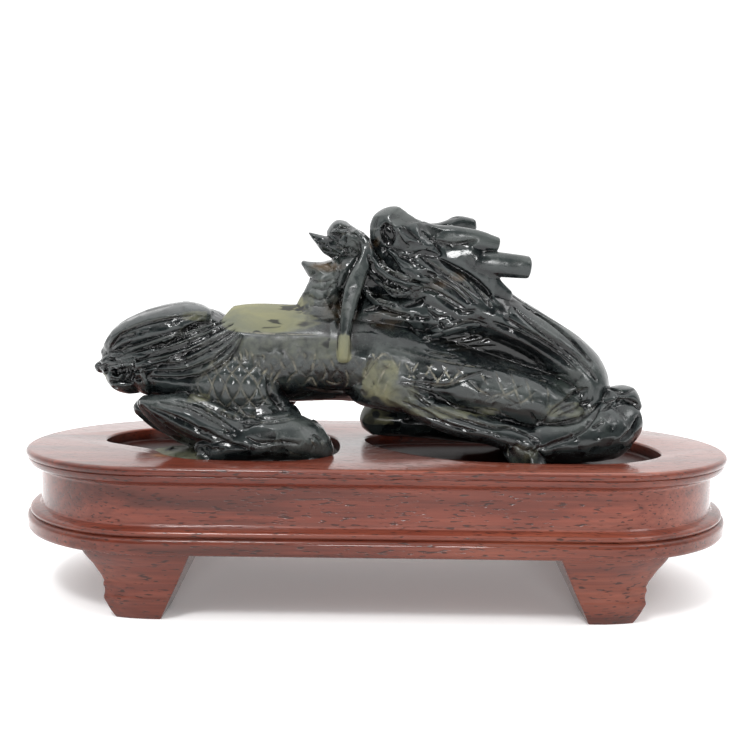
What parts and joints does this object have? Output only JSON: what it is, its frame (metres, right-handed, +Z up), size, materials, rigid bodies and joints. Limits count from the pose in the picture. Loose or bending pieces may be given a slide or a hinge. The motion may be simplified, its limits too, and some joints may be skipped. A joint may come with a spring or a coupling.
{
  "type": "stone dragon carving on a stand",
  "caption": "Reclining dragon carved in dark green-black stone, head turned back over its spine, resting in the pockets of an oval moulded wooden stand on bracket feet.",
  "frame": {"origin": "on the floor under the middle of the stand", "axes": "+X along the stand from the tail to the chest, +Y away from the viewer of the pictured side, +Z up"},
  "size_m": [0.15, 0.066, 0.0804],
  "materials": {
    "stone": "polished",
    "wood": "varnished"
  },
  "bodies": {
    "root": {"dragon": "stone", "stand": "wood"}
  },
  "joints": []
}
